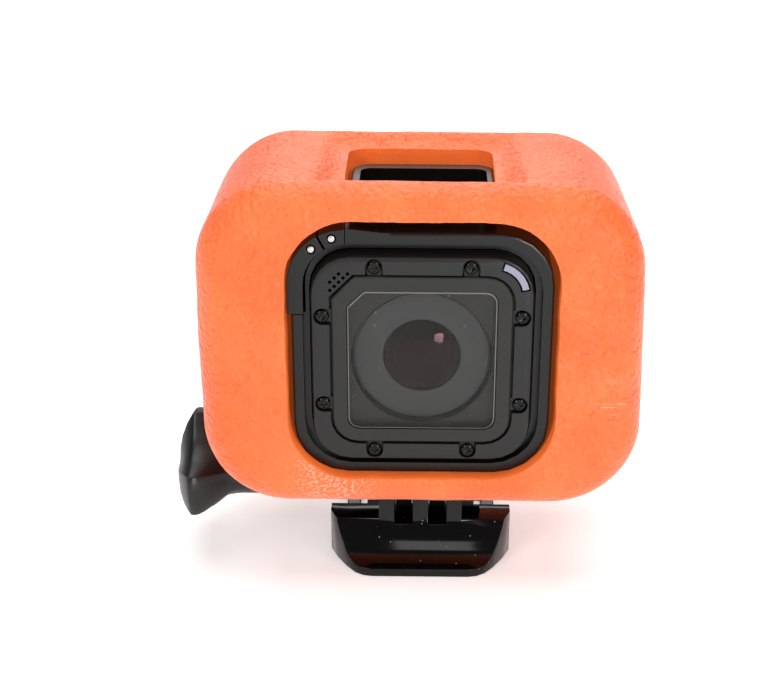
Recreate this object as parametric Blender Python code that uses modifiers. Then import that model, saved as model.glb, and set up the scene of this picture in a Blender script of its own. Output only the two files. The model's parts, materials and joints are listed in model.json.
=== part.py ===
"""Small cube action camera in its low-profile frame and a foam float jacket, on a quick-release
buckle. The world origin is the centre of the buckle's underside, straight below the tilt pivot.
+Z is up and the lens looks along -Y. Lengths are metres."""

import math

import bmesh
import bpy
from mathutils import Matrix, Vector

MM = 0.001
X, Y, Z = 0, 1, 2

# Fits
GAP = 0.3 * MM  # between pieces that rest on or in each other
RUN = 0.2 * MM  # round a pin or a shank
SLIP = 0.35 * MM  # camera in its frame, foam round the frame's moving neighbours

# Place of the camera on its mount
PIVOT_HEIGHT = 15.6 * MM
FACE_SETBACK = 19.0 * MM  # from the tilt pivot forward to the face

# Camera case
CASE_SIZE = 38.2 * MM
CASE_DEPTH = 36.4 * MM
CASE_CORNER = 6.8 * MM
CASE_WALL = 1.4 * MM
BEZEL_DEPTH = 3.5 * MM
FACE_EDGE = 1.0 * MM

# Lens cover on the face
COVER_SIZE = 31.0 * MM
COVER_CORNER = 4.5 * MM
COVER_CHAMFER = 4.0 * MM
COVER_DEPTH = 1.2 * MM
COVER_GROOVE = 0.35 * MM
GLASS_MARGIN = 2.7 * MM  # of the cover beside the glass
GLASS_CORNER = 2.0 * MM
GLASS_CHAMFER = 2.9 * MM
GLASS_DEPTH = 1.0 * MM
TAB_DEPTH = 0.4 * MM
TAB_STEP = 0.05 * MM
SCREW_ALONG = 8.2 * MM  # from the lens axis, along the cover's edge
SCREW_PAST = 1.6 * MM  # from the cover's edge outward
SCREW_HEAD_R = 1.2 * MM
SCREW_HEAD_H = 0.6 * MM
SCREW_SHANK_R = 0.6 * MM
SCREW_LENGTH = 2.8 * MM

# Lens
BORE_MARGIN = 0.5 * MM  # from the bore to the edge of the glass
TRIM_SETBACK = 2.7 * MM
TRIM_DEPTH = 0.7 * MM
DOME_R = 6.45 * MM
DOME_RISE = 1.35 * MM
BARREL_LENGTH = 12.5 * MM
BARREL_WALL = 0.9 * MM
APERTURE_R = 1.4 * MM

# Small things on the face
MIC_HOLE_R = 0.33 * MM
MIC_PITCH = 0.75 * MM
MIC_START = (6.45 * MM, 3.1 * MM)  # in from the case's side and top
MIC_CLEAR = 3.3 * MM  # no hole is nearer to the case's side than this
LED_R = 5.3 * MM  # middle of the light slot, round the corner's centre
LED_WIDTH = 1.1 * MM
LED_FROM, LED_TO = 12, 74

# Top controls
BUTTON_SIZE = (15.0 * MM, 8.0 * MM)
BUTTON_SETBACK = 21.6 * MM  # from the face back to the button's middle
BUTTON_PROUD = 0.5 * MM
BUTTON_TRAVEL = 0.7 * MM
BUTTON_FLANGE = 0.8 * MM
DISPLAY_SIZE = (12.0 * MM, 5.6 * MM)
DISPLAY_SETBACK = 12.6 * MM
DISPLAY_DEPTH = 0.8 * MM

# Back controls
REAR_BUTTON_R = 3.2 * MM
REAR_BUTTON_UP = 10.0 * MM
REAR_TRAVEL = 0.5 * MM
REAR_FLANGE = 0.9 * MM
REAR_LED_R = 1.0 * MM
REAR_LED_UP = 3.0 * MM

# Inside the case
BOARD_THICK = 1.0 * MM
SENSOR_SIZE = (7.2 * MM, 1.2 * MM, 5.8 * MM)
SENSOR_BOARD_HALF = 8.0 * MM
MAIN_BOARD_SETBACK = 19.6 * MM
MAIN_BOARD_MARGIN = 4.2 * MM
TOP_BOARD_HALF = 10.0 * MM
TOP_BOARD_THICK = 0.8 * MM
PANEL_THICK = 1.2 * MM
TOP_SWITCH = (2.2 * MM, 0.6 * MM)  # radius, height
REAR_SWITCH = (1.8 * MM, 0.8 * MM)
BATTERY_SIZE = (12.0 * MM, 9.0 * MM, 27.0 * MM)
BATTERY_MARGIN = (1.7 * MM, 2.7 * MM)  # in from the cavity's side and floor
SPEAKER_SIZE = (5.0 * MM, 2.4 * MM)  # radius, depth
SPEAKER_IN = (7.7 * MM, 8.7 * MM)  # its middle, in from the cavity's side and floor
MIC_SIZE = (3.0 * MM, 1.2 * MM, 3.0 * MM)
MIC_IN = (2.1 * MM, 1.9 * MM)
CARD_SLOT = (15.0 * MM, 6.4 * MM, 7.6 * MM)
CARD_SIZE = (14.5 * MM, 1.0 * MM, 9.6 * MM)
CARD_UP = 4.0 * MM
PORT_SIZE = (6.0 * MM, 3.0 * MM, 8.0 * MM)
PORT_DOWN = 6.0 * MM
PORT_WALL = 0.4 * MM

# Side door
DOOR_SIZE = (14.0 * MM, 24.0 * MM)
DOOR_SETBACK = 24.0 * MM
DOOR_SEAL = 1.0 * MM
SEAL_WIDE = 1.0 * MM
SEAL_EDGE = 0.6 * MM  # in from the edge of the door

# Frame
FRAME_WALL = 3.15 * MM
FRAME_CORNER = 9.5 * MM
FRAME_SETBACK = 2.0 * MM  # the face stands this far in front of the frame
FRAME_CLEARANCE = 0.4 * MM  # between the buckle's fingers and the frame
FRAME_LIP = 1.5 * MM  # rear lip's thickness
LIP_OPENING = 34.0 * MM
RIM_STEP = 1.15 * MM  # the front rim's inner edge is cut back by this
RIM_STEP_DEPTH = 1.5 * MM
HOOD_SIZE = (26.0 * MM, 22.0 * MM)
HOOD_SETBACK = 18.95 * MM
HOOD_HEIGHT = 4.2 * MM
HOOD_SIDE = 1.65 * MM
HOOD_FRONT = 2.1 * MM
HOOD_REAR = 3.4 * MM
HOOD_CORNER = 3.6 * MM

# Frame latch, on the upper corner beside the microphone
LATCH_DEPTH = 28.0 * MM
LATCH_PROUD = 0.6 * MM
LATCH_THICK = 2.8 * MM
LATCH_TOP_REACH = 13.4 * MM
SWELL_LENGTH = 7.6 * MM  # the band swells to the latch's thickness over this length
SWELL_DEPTH = 3.8 * MM
LATCH_SIDE_REACH = 8.0 * MM
PIN_R = 0.6 * MM
PIN_ANGLES = (105.4, 131.8)

# Foam jacket
FOAM_BESIDE = 16.1 * MM  # foam outside the frame, on each side
FOAM_ABOVE = 7.9 * MM
FOAM_BELOW = 7.1 * MM
FOAM_DEPTH = 42.0 * MM
FOAM_PROUD = 0.5 * MM
FOAM_CORNER = 15.5 * MM
FOAM_EDGE = 6.5 * MM
CHANNEL_SIDE = 0.8 * MM  # room beside the frame in the foam's channel
CHANNEL_ABOVE = 2.6 * MM
CHANNEL_CORNER = 11.2 * MM
TOP_HOLE = (27.6 * MM, 24.9 * MM)
TOP_HOLE_SETBACK = 20.05 * MM
DISH_SIZE = (38.0 * MM, 35.0 * MM)
DISH_SETBACK = 20.6 * MM
DISH_DEPTH = 1.7 * MM
DISH_LEDGE = 0.7 * MM
SLOT_HALF = 13.0 * MM
SLOT_FRONT = 10.6 * MM  # from the pivot forward

# Fingers and tilt screw
FINGER_R = 7.5 * MM
FINGER_THICK = 2.9 * MM
FINGER_PITCH = 6.4 * MM
FINGER_FLOOR = 7.8 * MM
SHANK_R = 2.4 * MM
HUB_R = 5.2 * MM
HUB_INSET = 4.7 * MM  # the hub ends this far inside the foam's side
KNOB_FLARE = 8.8 * MM  # from the hub's end to where the lobes are full
KNOB_CAP = 3.5 * MM  # the domed end's height
KNOB_R = 11.4 * MM
KNOB_FLUTE_R = 6.6 * MM
KNOB_DOME = (  # share of the cap's height, size
    (0.12, 0.98), (0.3, 0.9), (0.55, 0.76), (0.8, 0.56), (0.95, 0.35), (1.0, 0.15)
)
KNOB_FLUTE_HALF = math.radians(34)
KNOB_TURN = math.radians(-24)  # where the lobes happen to stand
SCREW_DEPTH = 3.5 * MM  # how far the screw stops short of the full lobes
NUT_FLATS = 8.0 * MM
NUT_THICK = 3.6 * MM
BOSS_R = 6.4 * MM
BOSS_DEPTH = 4.0 * MM

# Quick-release buckle
HEAD_HALF = 17.2 * MM
HEAD_FRONT = 14.4 * MM
HEAD_CORNERS = (  # across and forward, from the widest point to the flat front
    (15.8 * MM, 7.6 * MM), (13.9 * MM, 10.9 * MM), (12.2 * MM, 13.1 * MM), (10.6 * MM, 14.1 * MM)
)
HEAD_FLAT_HALF = 9.0 * MM
HEAD_WIDEST = 4.2 * MM
HEAD_REAR = 1.5 * MM
HEAD_HEIGHT = 8.5 * MM
HEAD_LIP = 1.6 * MM
HEAD_SLOPE_FROM = 7.3 * MM
TONGUE_HALF = 8.6 * MM
TONGUE_REAR = 22.0 * MM
TONGUE_HEIGHT = 3.2 * MM
ARM_OUTER = 14.6 * MM
ARM_THICK = 2.8 * MM
BASE_CLEARANCE = 1.4 * MM  # beside the block under the fingers, for the arms to be squeezed
ARM_HEIGHT = 5.0 * MM
ARM_LIFT = 0.6 * MM
PAD_LENGTH = 5.0 * MM
PAD_HEIGHT = 7.0 * MM
PAD_FLARE = 1.2 * MM
PAD_TAIL = 3.0 * MM

FACE_Y = -FACE_SETBACK
BACK_Y = FACE_Y + CASE_DEPTH
CASE_HALF = CASE_SIZE / 2
CAVITY_HALF = CASE_HALF - CASE_WALL
FRAME_INNER = CASE_HALF + SLIP
FRAME_HALF = FRAME_INNER + FRAME_WALL
LENS_HEIGHT = PIVOT_HEIGHT + FINGER_R + FRAME_CLEARANCE + FRAME_HALF
FRAME_FRONT_Y = FACE_Y + FRAME_SETBACK
FRAME_REAR_Y = BACK_Y + SLIP + FRAME_LIP
FOAM_FRONT_Y = FACE_Y - FOAM_PROUD
FOAM_BACK_Y = FOAM_FRONT_Y + FOAM_DEPTH
FOAM_HALF = FRAME_HALF + FOAM_BESIDE
FOAM_TOP = LENS_HEIGHT + FRAME_HALF + FOAM_ABOVE
FOAM_BOTTOM = LENS_HEIGHT - FRAME_HALF - FOAM_BELOW
SCREW_OUT = COVER_SIZE / 2 + SCREW_PAST
GLASS_SIZE = COVER_SIZE - 2 * GLASS_MARGIN
LENS_BORE_R = GLASS_SIZE / 2 - BORE_MARGIN
PIN_ROUND = FRAME_CORNER + LATCH_PROUD - LATCH_THICK / 2  # circle of the pins round the corner's centre
HUB_END = FOAM_HALF - HUB_INSET
KNOB_FULL = HUB_END + KNOB_FLARE
KNOB_END = KNOB_FULL + KNOB_CAP
LENS = Vector((0, FACE_Y, LENS_HEIGHT))
PIVOT = Vector((0, 0, PIVOT_HEIGHT))
FINGER_SPAN = FINGER_PITCH + FINGER_THICK / 2  # outer face of an outer finger
BASE_HALF = ARM_OUTER - ARM_THICK - BASE_CLEARANCE
PAST = 2 * MM  # how far a cutter runs past what it cuts

objects = bpy.data.objects
for old in list(objects):
    objects.remove(old, do_unlink=True)
scene = bpy.context.scene
parts = bpy.data.collections.new("action_camera")
cutters = bpy.data.collections.new("cutters")
cutters.hide_render = True
scene.collection.children.link(parts)
scene.collection.children.link(cutters)


def material(name, color, roughness, metallic=0.0, alpha=1.0):
    made = bpy.data.materials.new(name)
    made.use_nodes = True
    shader = made.node_tree.nodes["Principled BSDF"]
    shader.inputs["Base Color"].default_value = (*color, 1)
    shader.inputs["Roughness"].default_value = roughness
    shader.inputs["Metallic"].default_value = metallic
    shader.inputs["Alpha"].default_value = alpha
    made.diffuse_color = (*color, 1)
    return made


foam_orange = material("foam_orange", (0.95, 0.22, 0.05), 0.8)
satin_black = material("satin_black", (0.025, 0.025, 0.025), 0.45)
gloss_black = material("gloss_black", (0.008, 0.008, 0.008), 0.12)
trim_grey = material("trim_grey", (0.06, 0.06, 0.06), 0.5)
lens_glass = material("lens_glass", (0.02, 0.02, 0.022), 0.05, alpha=0.4)
clear_glass = material("clear_glass", (0.6, 0.6, 0.6), 0.05, alpha=0.2)
lilac_lens = material("lilac_lens", (0.27, 0.27, 0.34), 0.3)
steel = material("steel", (0.6, 0.6, 0.6), 0.25, 1.0)
black_screw = material("black_screw", (0.04, 0.04, 0.04), 0.35, 1.0)
rubber = material("rubber", (0.02, 0.02, 0.02), 0.8)
board_green = material("board_green", (0.02, 0.12, 0.05), 0.5)
chip_dark = material("chip_dark", (0.03, 0.03, 0.04), 0.3)
cell_silver = material("cell_silver", (0.5, 0.5, 0.52), 0.4, 1.0)


def made_object(name, mesh, look):
    """An object in the parts, or in the cutters where it has no material."""
    obj = objects.new(name, mesh)
    if look is None:
        cutters.objects.link(obj)
        obj.hide_render = True
        obj.display_type = "WIRE"
    else:
        parts.objects.link(obj)
        mesh.materials.append(look)
    return obj


def from_bmesh(name, bm, look):
    bmesh.ops.recalc_face_normals(bm, faces=bm.faces)
    mesh = bpy.data.meshes.new(name)
    bm.to_mesh(mesh)
    bm.free()
    return made_object(name, mesh, look)


def near(a, b):
    return abs(a - b) < 1e-6


def bevel(bm, edges, radius, segments):
    bmesh.ops.bevel(bm, geom=edges, offset=radius, segments=segments, affect="EDGES", profile=0.5)


def block(
    name, low, high, look=None, axis=Y, corner=0.0, segments=5, chamfer=0.0, ends=(), edge=0.0, steps=2
):
    """A box whose four edges along axis are rounded by corner, with the upper one on the -X side cut
    by chamfer instead, and whose end faces on the sides in ends (-1 or 1) have edges rounded by edge."""
    low, high = Vector(low), Vector(high)
    bm = bmesh.new()
    bmesh.ops.create_cube(bm, size=1)
    for vert in bm.verts:
        vert.co = (low + high) / 2 + Vector(c * s for c, s in zip(vert.co, high - low))
    across = [i for i in range(3) if i != axis]
    along = [e for e in bm.edges if all(near(e.verts[0].co[i], e.verts[1].co[i]) for i in across)]
    if chamfer:
        cut_off = [e for e in along if near(e.verts[0].co.x, low.x) and near(e.verts[0].co.z, high.z)]
        bevel(bm, [e for e in along if e not in cut_off], corner, segments)
        cut_off = [
            e for e in bm.edges if all(near(v.co.x, low.x) and near(v.co.z, high.z) for v in e.verts)
        ]
        bevel(bm, cut_off, chamfer, 1)
    elif corner:
        bevel(bm, along, corner, segments)
    for side in ends:
        level = high[axis] if side > 0 else low[axis]
        bevel(bm, [e for e in bm.edges if all(near(v.co[axis], level) for v in e.verts)], edge, steps)
    return from_bmesh(name, bm, look)


def rod(name, radius, start, end, look=None, sides=24, turn=0.0):
    """A round bar, or a prism of a few sides, from start to end, which lie on one world axis."""
    start, end = Vector(start), Vector(end)
    bm = bmesh.new()
    spin = (end - start).to_track_quat("Z", "Y").to_matrix().to_4x4() @ Matrix.Rotation(turn, 4, "Z")
    bmesh.ops.create_cone(
        bm,
        cap_ends=True,
        segments=sides,
        radius1=radius,
        radius2=radius,
        depth=(end - start).length,
        matrix=Matrix.Translation((start + end) / 2) @ spin,
    )
    return from_bmesh(name, bm, look)


def turned(name, profile, centre, look, steps=32, ring=False):
    """A shape turned round an axis that points at the viewer, along -Y. The profile is a list of
    (radius, distance towards the viewer) down the outer side, closed up as a loop for a ring."""
    count = len(profile)
    mesh = bpy.data.meshes.new(name)
    edges = [(i, i + 1) for i in range(count - 1)] + ([(count - 1, 0)] if ring else [])
    mesh.from_pydata([(r, 0, h) for r, h in profile], edges, [])
    obj = made_object(name, mesh, look)
    obj.location = centre
    obj.rotation_euler = (math.radians(90), 0, 0)
    screw = obj.modifiers.new("turn", "SCREW")
    screw.steps = screw.render_steps = steps
    screw.use_merge_vertices = True
    screw.merge_threshold = 1e-6
    screw.use_smooth_shade = True
    return obj


def prism(name, outline, axis, low, high, look=None):
    """A flat outline carried along an axis. Its points give the other two axes in order."""
    bm = bmesh.new()
    verts = []
    for point in outline:
        place = list(point)
        place.insert(axis, low)
        verts.append(bm.verts.new(place))
    face = bm.faces.new(verts)
    moved = bmesh.ops.extrude_face_region(bm, geom=[face])["geom"]
    shift = Vector((0, 0, 0))
    shift[axis] = high - low
    bmesh.ops.translate(bm, verts=[g for g in moved if isinstance(g, bmesh.types.BMVert)], vec=shift)
    return from_bmesh(name, bm, look)


def combine(obj, other, operation):
    modifier = obj.modifiers.new(operation.lower() + "_" + other.name, "BOOLEAN")
    modifier.operation = operation
    modifier.object = other
    modifier.solver = "EXACT"


def cut(obj, *others):
    for other in others:
        combine(obj, other, "DIFFERENCE")


def join(obj, *others):
    for other in others:
        combine(obj, other, "UNION")


def keep_inside(obj, other):
    combine(obj, other, "INTERSECT")


def set_origin(obj, point):
    """Puts the object's origin on point, which is on its joint's axis, and leaves its shape in place."""
    obj.data.transform(Matrix.Translation(obj.location - Vector(point)))
    obj.location = point


def about_lens(x0, x1, y0, y1, z0, z1):
    """Low and high corners from distances right of, behind and above the middle of the face."""
    return LENS + Vector((x0, y0, z0)), LENS + Vector((x1, y1, z1))


def square(name, half, y0, y1, look=None, **rounding):
    """A block centred on the lens axis, from y0 to y1 behind the face."""
    return block(name, *about_lens(-half, half, y0, y1, -half, half), look, **rounding)


def arc(centre, radius, start, end, steps):
    """Points on an arc, from start to end in degrees."""
    turns = [math.radians(start + (end - start) * i / steps) for i in range(steps + 1)]
    return [(centre[0] + radius * math.cos(t), centre[1] + radius * math.sin(t)) for t in turns]


def screw_places():
    """The eight cover screws, two beside each edge, as (name, x, z, unit vector to the cover)."""
    for name, out in (("top", (0, 1)), ("right", (1, 0)), ("bottom", (0, -1)), ("left", (-1, 0))):
        for number, side in ((1, -1), (2, 1)):
            x = out[0] * SCREW_OUT + abs(out[1]) * side * SCREW_ALONG
            z = out[1] * SCREW_OUT + abs(out[0]) * side * SCREW_ALONG
            yield f"{name}_{number}", x, z, Vector((-out[0], 0, -out[1]))


def u_shape(name, x, z, towards, radius, y0, y1, look=None):
    """A round-ended block at a screw that runs on towards the cover."""
    centre = (x, LENS_HEIGHT + z)
    away = math.degrees(math.atan2(-towards.z, -towards.x))
    outline = arc(centre, radius, away - 90, away + 90, 10)
    reach = SCREW_OUT - COVER_SIZE / 2 + PAST / 2
    for px, pz in (outline[-1], outline[0]):
        outline.append((px + towards.x * reach, pz + towards.z * reach))
    return prism(name, outline, Y, FACE_Y + y0, FACE_Y + y1, look)


def front_bezel():
    bezel = square(
        "front_bezel", CASE_HALF, 0, BEZEL_DEPTH, satin_black,
        corner=CASE_CORNER, ends=(-1,), edge=FACE_EDGE,
    )
    pocket_half = COVER_SIZE / 2 + COVER_GROOVE
    floor = COVER_DEPTH + GAP
    through = Vector((0, 2 * BEZEL_DEPTH, 0))
    cut(
        bezel,
        square(
            "cover_pocket", pocket_half, -PAST, floor,
            corner=COVER_CORNER + COVER_GROOVE, chamfer=COVER_CHAMFER,
        ),
        rod("lens_bore", LENS_BORE_R, LENS - Vector((0, PAST, 0)), LENS + through, None, 48),
    )
    for name, x, z, towards in screw_places():
        cut(bezel, u_shape("pocket_" + name, x, z, towards, SCREW_HEAD_R + GAP, -PAST, floor))
        at = LENS + Vector((x, 0, z))
        cut(bezel, rod("hole_" + name, SCREW_SHANK_R + RUN, at, at + through, None, 12))
    for x, z in mic_places():
        at = LENS + Vector((x, -PAST, z))
        cut(bezel, rod("mic_hole", MIC_HOLE_R, at, at + through, None, 8))
    cut(bezel, light_arc("led_slot", GAP, -PAST, BEZEL_DEPTH + PAST, None))


def mic_places():
    """A staggered grid of small holes that ends at the cover's cut corner."""
    for row in range(5):
        for column in range(2):
            x = MIC_START[0] - CASE_HALF - MIC_PITCH * (row + 2 * column)
            if x > MIC_CLEAR - CASE_HALF and row + 2 * column < 5:
                yield x, CASE_HALF - MIC_START[1] - MIC_PITCH * row


def light_arc(name, margin, y0, y1, look):
    """The curved light in the upper corner, or its slot with a margin all round."""
    centre = (CASE_HALF - CASE_CORNER, LENS_HEIGHT + CASE_HALF - CASE_CORNER)
    spread = math.degrees(margin / LED_R)
    outer = LED_R + LED_WIDTH / 2 + margin
    inner = LED_R - LED_WIDTH / 2 - margin
    outline = arc(centre, outer, LED_FROM - spread, LED_TO + spread, 8)
    outline += arc(centre, inner, LED_TO + spread, LED_FROM - spread, 8)
    return prism(name, outline, Y, FACE_Y + y0, FACE_Y + y1, look)


def lens_cover():
    half = COVER_SIZE / 2
    plate = square(
        "lens_cover_plate", half, 0, COVER_DEPTH, satin_black, corner=COVER_CORNER, chamfer=COVER_CHAMFER,
        ends=(-1,), edge=0.25 * MM, steps=1,
    )
    for name, x, z, towards in screw_places():
        tab_back = COVER_DEPTH - TAB_STEP
        join(plate, u_shape("tab_" + name, x, z, towards, SCREW_HEAD_R, tab_back - TAB_DEPTH, tab_back))
        at = LENS + Vector((x, -PAST, z))
        tab_hole = rod("tab_hole_" + name, SCREW_SHANK_R + RUN, at, at + Vector((0, 4 * PAST, 0)), None, 12)
        cut(plate, tab_hole)
    window = GLASS_SIZE / 2 + GAP / 2
    cut(plate, square("window", window, -PAST, PAST, corner=GLASS_CORNER, chamfer=GLASS_CHAMFER))
    square(
        "lens_cover_glass", GLASS_SIZE / 2, 0, GLASS_DEPTH, clear_glass, corner=GLASS_CORNER,
        chamfer=GLASS_CHAMFER, ends=(-1,), edge=0.2 * MM, steps=1,
    )


def cover_screws():
    """Pan heads with a cross recess, each with its shank."""
    for name, x, z, _ in screw_places():
        at = LENS + Vector((x, 0, z))
        head = turned(
            "cover_screw_" + name,
            [(0, 0), (SCREW_HEAD_R * 0.75, 0), (SCREW_HEAD_R, -0.25 * MM), (SCREW_HEAD_R, -SCREW_HEAD_H),
             (SCREW_SHANK_R, -SCREW_HEAD_H), (SCREW_SHANK_R, -SCREW_LENGTH), (0, -SCREW_LENGTH)],
            at, black_screw, 16,
        )
        for long, wide in ((0.65, 0.15), (0.15, 0.65)):
            arm = Vector((long * MM, 0, wide * MM))
            low = at - arm - Vector((0, PAST, 0))
            cut(head, block("cross_" + name, low, at + arm + Vector((0, 0.35 * MM, 0))))


def lens():
    def at(setback):
        return LENS + Vector((0, setback, 0))

    outer = LENS_BORE_R - GAP
    inner = DOME_R + GAP
    turned("lens_trim_ring", [(inner, 0), (outer, 0), (outer, -TRIM_DEPTH), (inner, -TRIM_DEPTH)],
           at(TRIM_SETBACK), trim_grey, 48, ring=True)
    sphere = (DOME_R**2 + DOME_RISE**2) / (2 * DOME_RISE)
    spread = math.degrees(math.asin(DOME_R / sphere))
    crown = [(sphere * math.sin(math.radians(a)), sphere * math.cos(math.radians(a)) - sphere + DOME_RISE)
             for a in (spread * i / 6 for i in range(7))]
    crown[0] = (0, DOME_RISE)
    underside = [(DOME_R, -GAP * 3), (0, -GAP * 3)]
    turned("lens_front_element", crown + underside, at(TRIM_SETBACK), lens_glass, 40)
    start = TRIM_SETBACK + GAP * 4
    wall = DOME_R - BARREL_WALL
    turned("lens_barrel", [(wall, 0), (DOME_R, 0), (DOME_R, -BARREL_LENGTH), (wall, -BARREL_LENGTH)],
           at(start), satin_black, 32, ring=True)
    ring = wall - GAP
    turned("lens_aperture_ring", [(APERTURE_R, 0), (ring, 0), (ring, -1.5 * MM), (APERTURE_R, -1.5 * MM)],
           at(start + 2.5 * MM), satin_black, 32, ring=True)
    turned("lens_rear_element", [(0, 0), (ring, 0), (ring, -2 * MM), (0, -2 * MM)],
           at(start + 7 * MM), lens_glass, 24)
    sensor = start + BARREL_LENGTH + GAP
    wide, thick, high = SENSOR_SIZE
    block(
        "image_sensor",
        *about_lens(-wide / 2, wide / 2, sensor, sensor + thick, -high / 2, high / 2), chip_dark,
    )
    board = sensor + thick + GAP
    square(
        "sensor_board", SENSOR_BOARD_HALF, board, board + BOARD_THICK, board_green,
        corner=1 * MM, segments=2,
    )


def case():
    """The rear shell of the camera, open in front, where the bezel closes it."""
    low, high = about_lens(-CASE_HALF, CASE_HALF, BEZEL_DEPTH + GAP, CASE_DEPTH, -CASE_HALF, CASE_HALF)
    shell = block("camera_case", low, high, satin_black, corner=CASE_CORNER, ends=(1,), edge=2 * MM)
    back_wall = CASE_DEPTH - CASE_WALL
    cut(shell, square("case_cavity", CAVITY_HALF, 0, back_wall, corner=CASE_CORNER - CASE_WALL))
    top_controls(shell)
    back_controls(shell)
    side_door(shell)


def top_controls(shell):
    """The shutter button and the display window in the top wall, with what lies under them."""
    top = LENS_HEIGHT + CASE_HALF
    button_y = FACE_Y + BUTTON_SETBACK
    half_x, half_y = BUTTON_SIZE[0] / 2, BUTTON_SIZE[1] / 2
    cut(shell, block(
        "button_hole", (-half_x - GAP, button_y - half_y - GAP, top - 2 * PAST),
        (half_x + GAP, button_y + half_y + GAP, top + PAST), axis=Z, corner=2.5 * MM, segments=4,
    ))
    button = block(
        "shutter_button", (-half_x, button_y - half_y, top - CASE_WALL - 2 * GAP),
        (half_x, button_y + half_y, top + BUTTON_PROUD), satin_black,
        axis=Z, corner=2.2 * MM, segments=4, ends=(1,), edge=0.4 * MM,
    )
    flange_top = top - CASE_WALL - GAP
    rim = 1.2 * MM
    join(button, block(
        "button_flange", (-half_x - rim, button_y - half_y - rim, flange_top - BUTTON_FLANGE),
        (half_x + rim, button_y + half_y + rim, flange_top), axis=Z, corner=2.5 * MM, segments=3,
    ))
    set_origin(button, (0, button_y, top))
    switch_top = flange_top - BUTTON_FLANGE - BUTTON_TRAVEL - GAP
    switch_r, switch_height = TOP_SWITCH
    switch_foot = switch_top - switch_height
    rod("shutter_switch", switch_r, (0, button_y, switch_foot), (0, button_y, switch_top), steel, 16)
    display_y = FACE_Y + DISPLAY_SETBACK
    wide, long = DISPLAY_SIZE[0] / 2, DISPLAY_SIZE[1] / 2
    cut(shell, block(
        "display_hole", (-wide - GAP, display_y - long - GAP, top - 2 * PAST),
        (wide + GAP, display_y + long + GAP, top + PAST), axis=Z, corner=1 * MM, segments=3,
    ))
    block(
        "display_window", (-wide, display_y - long, top - DISPLAY_DEPTH), (wide, display_y + long, top),
        clear_glass, axis=Z, corner=0.8 * MM, segments=3,
    )
    panel_top = top - DISPLAY_DEPTH - GAP
    block(
        "status_display", (-wide, display_y - long, panel_top - PANEL_THICK),
        (wide, display_y + long, panel_top), chip_dark, axis=Z,
    )
    board_top = min(switch_foot, panel_top - PANEL_THICK) - GAP
    block(
        "top_board", (-TOP_BOARD_HALF, display_y - long, board_top - TOP_BOARD_THICK),
        (TOP_BOARD_HALF, button_y + half_y, board_top), board_green, axis=Z,
    )


def back_controls(shell):
    at = Vector((0, BACK_Y, LENS_HEIGHT + REAR_BUTTON_UP))
    inside = BACK_Y - CASE_WALL
    deep = Vector((0, -2 * PAST, 0))
    cut(shell, rod("rear_button_hole", REAR_BUTTON_R + GAP, at + deep, at - deep, None, 28))
    button_start, button_end = (0, inside - 2 * GAP, at.z), (0, BACK_Y + GAP, at.z)
    button = rod("rear_button", REAR_BUTTON_R, button_start, button_end, satin_black, 28)
    flange_y = inside - GAP
    flange_start = flange_y - REAR_FLANGE
    flange_r = REAR_BUTTON_R + REAR_FLANGE
    join(button, rod("rear_button_flange", flange_r, (0, flange_start, at.z), (0, flange_y, at.z)))
    set_origin(button, at)
    switch_y = flange_start - REAR_TRAVEL - GAP
    switch_r, switch_height = REAR_SWITCH
    rod("rear_switch", switch_r, (0, switch_y - switch_height, at.z), (0, switch_y, at.z), steel, 16)
    light = Vector((0, BACK_Y, LENS_HEIGHT + REAR_LED_UP))
    cut(shell, rod("rear_light_hole", REAR_LED_R + RUN, light + deep, light - deep, None, 16))
    light_end = (0, inside - 2 * GAP, light.z)
    rod("rear_light_pipe", REAR_LED_R, light_end, (0, BACK_Y, light.z), lilac_lens, 16)


def side_door(shell):
    """The door over the card and the port, flush in the +X wall, with its seal and catch."""
    y = FACE_Y + DOOR_SETBACK
    half_y, half_z = DOOR_SIZE[0] / 2, DOOR_SIZE[1] / 2
    face = CASE_HALF
    inside = CASE_HALF - CASE_WALL
    cut(shell, block(
        "door_hole", (inside - PAST, y - half_y - GAP, LENS_HEIGHT - half_z - GAP),
        (face + PAST, y + half_y + GAP, LENS_HEIGHT + half_z + GAP), axis=X, corner=2 * MM, segments=3,
    ))
    block("side_door", (inside, y - half_y, LENS_HEIGHT - half_z), (face, y + half_y, LENS_HEIGHT + half_z),
          satin_black, axis=X, corner=1.8 * MM, segments=3)
    outer = SEAL_EDGE
    seal = block(
        "door_seal", (inside - GAP - DOOR_SEAL, y - half_y + outer, LENS_HEIGHT - half_z + outer),
        (inside - GAP, y + half_y - outer, LENS_HEIGHT + half_z - outer), rubber,
        axis=X, corner=1.8 * MM, segments=3,
    )
    inner = SEAL_EDGE + SEAL_WIDE
    cut(seal, block(
        "door_seal_hole", (inside - PAST, y - half_y + inner, LENS_HEIGHT - half_z + inner),
        (inside + PAST, y + half_y - inner, LENS_HEIGHT + half_z - inner),
        axis=X, corner=1.2 * MM, segments=3,
    ))
    card_and_port(inside - GAP - DOOR_SEAL - GAP, y)


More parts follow.
